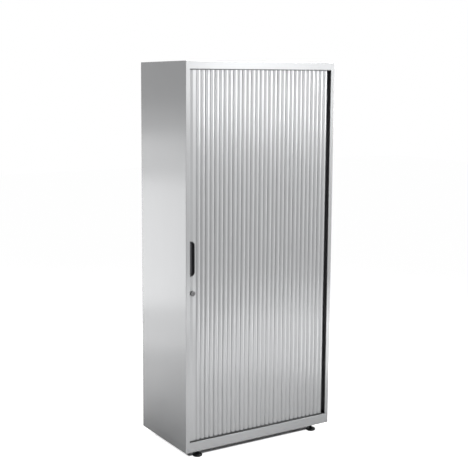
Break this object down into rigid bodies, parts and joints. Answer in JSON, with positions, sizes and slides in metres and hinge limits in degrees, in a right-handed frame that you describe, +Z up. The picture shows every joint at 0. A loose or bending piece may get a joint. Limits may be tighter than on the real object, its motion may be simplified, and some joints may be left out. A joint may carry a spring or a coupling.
{
  "type": "roll front tool cabinet",
  "caption": "Tall steel cupboard with a ribbed tambour door that slides sideways round into the casing, a finger pull, a cam lock, shelves and levelling feet",
  "frame": {"origin": "on the floor, under the middle of the overall width and depth", "axes": "+X to the right seen from the front, +Y from the front to the back, +Z up"},
  "size_m": [0.914, 0.474, 2.021],
  "materials": {
    "casing": "silver grey powder coat, satin",
    "curtain": "extruded, silver grey powder coat, satin",
    "zinc_steel": "zinc plated",
    "chrome": "nickel plated",
    "black_plastic": "black moulded plastic",
    "rubber": "black rubber"
  },
  "bodies": {
    "cabinet": {"back_liner": "casing", "back_panel": "casing", "base_panel": "casing", "ceiling_panel": "casing", "door_buffers": "rubber", "foot_sockets": "zinc_steel", "left_side_panel": "casing", "lock_keeper": "zinc_steel", "lower_front_track": "black_plastic", "lower_pocket_track": "black_plastic", "pocket_trim": "black_plastic", "right_side_panel": "casing", "shelf_1": "casing", "shelf_2": "casing", "shelf_3": "casing", "shelf_4": "casing", "shelf_clips": "zinc_steel", "side_liner": "casing", "top_panel": "casing", "upper_front_track": "black_plastic", "upper_pocket_track": "black_plastic", "upright_front_left": "zinc_steel", "upright_front_right": "zinc_steel", "upright_rear_left": "zinc_steel", "upright_rear_right": "zinc_steel"},
    "door": {"leading_bar": "curtain", "bar_glides": "black_plastic", "handle_cup": "black_plastic", "lock_housing": "chrome", "lock_nut": "zinc_steel"},
    "lock": {"lock_plug": "chrome", "lock_cam": "zinc_steel"},
    "slat_01_body": {"slat_01": "curtain"},
    "slat_02_body": {"slat_02": "curtain"},
    "slat_03_body": {"slat_03": "curtain"},
    "slat_04_body": {"slat_04": "curtain"},
    "slat_05_body": {"slat_05": "curtain"},
    "slat_06_body": {"slat_06": "curtain"},
    "slat_07_body": {"slat_07": "curtain"},
    "slat_08_body": {"slat_08": "curtain"},
    "slat_09_body": {"slat_09": "curtain"},
    "slat_10_body": {"slat_10": "curtain"},
    "slat_11_body": {"slat_11": "curtain"},
    "slat_12_body": {"slat_12": "curtain"},
    "slat_13_body": {"slat_13": "curtain"},
    "slat_14_body": {"slat_14": "curtain"},
    "slat_15_body": {"slat_15": "curtain"},
    "foot_1": {"foot_pad_1": "black_plastic"},
    "foot_1_screw": {"foot_stem_1": "zinc_steel"},
    "foot_2": {"foot_pad_2": "black_plastic"},
    "foot_2_screw": {"foot_stem_2": "zinc_steel"},
    "foot_3": {"foot_pad_3": "black_plastic"},
    "foot_3_screw": {"foot_stem_3": "zinc_steel"},
    "foot_4": {"foot_pad_4": "black_plastic"},
    "foot_4_screw": {"foot_stem_4": "zinc_steel"}
  },
  "joints": [
    {"name": "door_slide", "type": "slide", "parent": "cabinet", "child": "door", "axis": [1, 0, 0], "range_m": [0, 0.7945]},
    {"name": "slat_01_slide", "type": "slide", "parent": "cabinet", "child": "slat_01_body", "axis": [1, 0, 0], "range_m": [0, 0.7945], "deforming": ["slat_01"]},
    {"name": "slat_02_slide", "type": "slide", "parent": "cabinet", "child": "slat_02_body", "axis": [1, 0.0002, 0], "range_m": [0, 0.7405], "deforming": ["slat_02"]},
    {"name": "slat_03_slide", "type": "slide", "parent": "cabinet", "child": "slat_03_body", "axis": [1, 0.0003, 0], "range_m": [0, 0.6865], "deforming": ["slat_03"]},
    {"name": "slat_04_slide", "type": "slide", "parent": "cabinet", "child": "slat_04_body", "axis": [1, 0.0006, 0], "range_m": [0, 0.6325], "deforming": ["slat_04"]},
    {"name": "slat_05_slide", "type": "slide", "parent": "cabinet", "child": "slat_05_body", "axis": [1, 0.0008, 0], "range_m": [0, 0.5785], "deforming": ["slat_05"]},
    {"name": "slat_06_slide", "type": "slide", "parent": "cabinet", "child": "slat_06_body", "axis": [1, 0.0011, 0], "range_m": [0, 0.5245], "deforming": ["slat_06"]},
    {"name": "slat_07_slide", "type": "slide", "parent": "cabinet", "child": "slat_07_body", "axis": [1, 0.0015, 0], "range_m": [0, 0.4705], "deforming": ["slat_07"]},
    {"name": "slat_08_slide", "type": "slide", "parent": "cabinet", "child": "slat_08_body", "axis": [1, 0.002, 0], "range_m": [0, 0.4165], "deforming": ["slat_08"]},
    {"name": "slat_09_slide", "type": "slide", "parent": "cabinet", "child": "slat_09_body", "axis": [1, 0.0026, 0], "range_m": [0, 0.3625], "deforming": ["slat_09"]},
    {"name": "slat_10_slide", "type": "slide", "parent": "cabinet", "child": "slat_10_body", "axis": [1, 0.0035, 0], "range_m": [0, 0.3085], "deforming": ["slat_10"]},
    {"name": "slat_11_slide", "type": "slide", "parent": "cabinet", "child": "slat_11_body", "axis": [1, 0.0047, 0], "range_m": [0, 0.2545], "deforming": ["slat_11"]},
    {"name": "slat_12_slide", "type": "slide", "parent": "cabinet", "child": "slat_12_body", "axis": [1, 0.0066, 0], "range_m": [0, 0.20051], "deforming": ["slat_12"]},
    {"name": "slat_13_slide", "type": "slide", "parent": "cabinet", "child": "slat_13_body", "axis": [1, 0.0098, 0], "range_m": [0, 0.14651], "deforming": ["slat_13"]},
    {"name": "slat_14_slide", "type": "slide", "parent": "cabinet", "child": "slat_14_body", "axis": [0.9999, 0.0169, 0], "range_m": [0, 0.09252], "deforming": ["slat_14"]},
    {"name": "slat_15_slide", "type": "slide", "parent": "cabinet", "child": "slat_15_body", "axis": [0.999, 0.0436, 0], "range_m": [0, 0.03854], "deforming": ["slat_15"]},
    {"name": "lock_turn", "type": "hinge", "parent": "door", "child": "lock", "pos_m": [-0.417, -0.2285, 0.868], "axis": [0, 1, 0], "range_deg": [0, 90]},
    {"name": "foot_1_drop", "type": "slide", "parent": "cabinet", "child": "foot_1", "axis": [0, 0, -1], "range_m": [0, 0.015]},
    {"name": "foot_1_turn", "type": "hinge", "parent": "foot_1", "child": "foot_1_screw", "pos_m": [-0.367, -0.195, 0.02], "axis": [0, 0, -1], "range_deg": [0, 3601]},
    {"name": "foot_2_drop", "type": "slide", "parent": "cabinet", "child": "foot_2", "axis": [0, 0, -1], "range_m": [0, 0.015]},
    {"name": "foot_2_turn", "type": "hinge", "parent": "foot_2", "child": "foot_2_screw", "pos_m": [0.367, -0.195, 0.02], "axis": [0, 0, -1], "range_deg": [0, 3601]},
    {"name": "foot_3_drop", "type": "slide", "parent": "cabinet", "child": "foot_3", "axis": [0, 0, -1], "range_m": [0, 0.015]},
    {"name": "foot_3_turn", "type": "hinge", "parent": "foot_3", "child": "foot_3_screw", "pos_m": [-0.367, 0.199, 0.02], "axis": [0, 0, -1], "range_deg": [0, 3601]},
    {"name": "foot_4_drop", "type": "slide", "parent": "cabinet", "child": "foot_4", "axis": [0, 0, -1], "range_m": [0, 0.015]},
    {"name": "foot_4_turn", "type": "hinge", "parent": "foot_4", "child": "foot_4_screw", "pos_m": [0.367, 0.199, 0.02], "axis": [0, 0, -1], "range_deg": [0, 3601]}
  ],
  "couplings": [
    {"joint": "slat_01_slide", "follows": "door_slide", "ratio": 1},
    {"joint": "slat_02_slide", "follows": "door_slide", "ratio": 0.93203},
    {"joint": "slat_03_slide", "follows": "door_slide", "ratio": 0.86407},
    {"joint": "slat_04_slide", "follows": "door_slide", "ratio": 0.7961},
    {"joint": "slat_05_slide", "follows": "door_slide", "ratio": 0.72813},
    {"joint": "slat_06_slide", "follows": "door_slide", "ratio": 0.66016},
    {"joint": "slat_07_slide", "follows": "door_slide", "ratio": 0.5922},
    {"joint": "slat_08_slide", "follows": "door_slide", "ratio": 0.52423},
    {"joint": "slat_09_slide", "follows": "door_slide", "ratio": 0.45626},
    {"joint": "slat_10_slide", "follows": "door_slide", "ratio": 0.3883},
    {"joint": "slat_11_slide", "follows": "door_slide", "ratio": 0.32033},
    {"joint": "slat_12_slide", "follows": "door_slide", "ratio": 0.25237},
    {"joint": "slat_13_slide", "follows": "door_slide", "ratio": 0.1844},
    {"joint": "slat_14_slide", "follows": "door_slide", "ratio": 0.11644},
    {"joint": "slat_15_slide", "follows": "door_slide", "ratio": 0.048504},
    {"joint": "foot_1_turn", "follows": "foot_1_drop", "rad_per_m": 4188.8},
    {"joint": "foot_2_turn", "follows": "foot_2_drop", "rad_per_m": 4188.8},
    {"joint": "foot_3_turn", "follows": "foot_3_drop", "rad_per_m": 4188.8},
    {"joint": "foot_4_turn", "follows": "foot_4_drop", "rad_per_m": 4188.8}
  ]
}
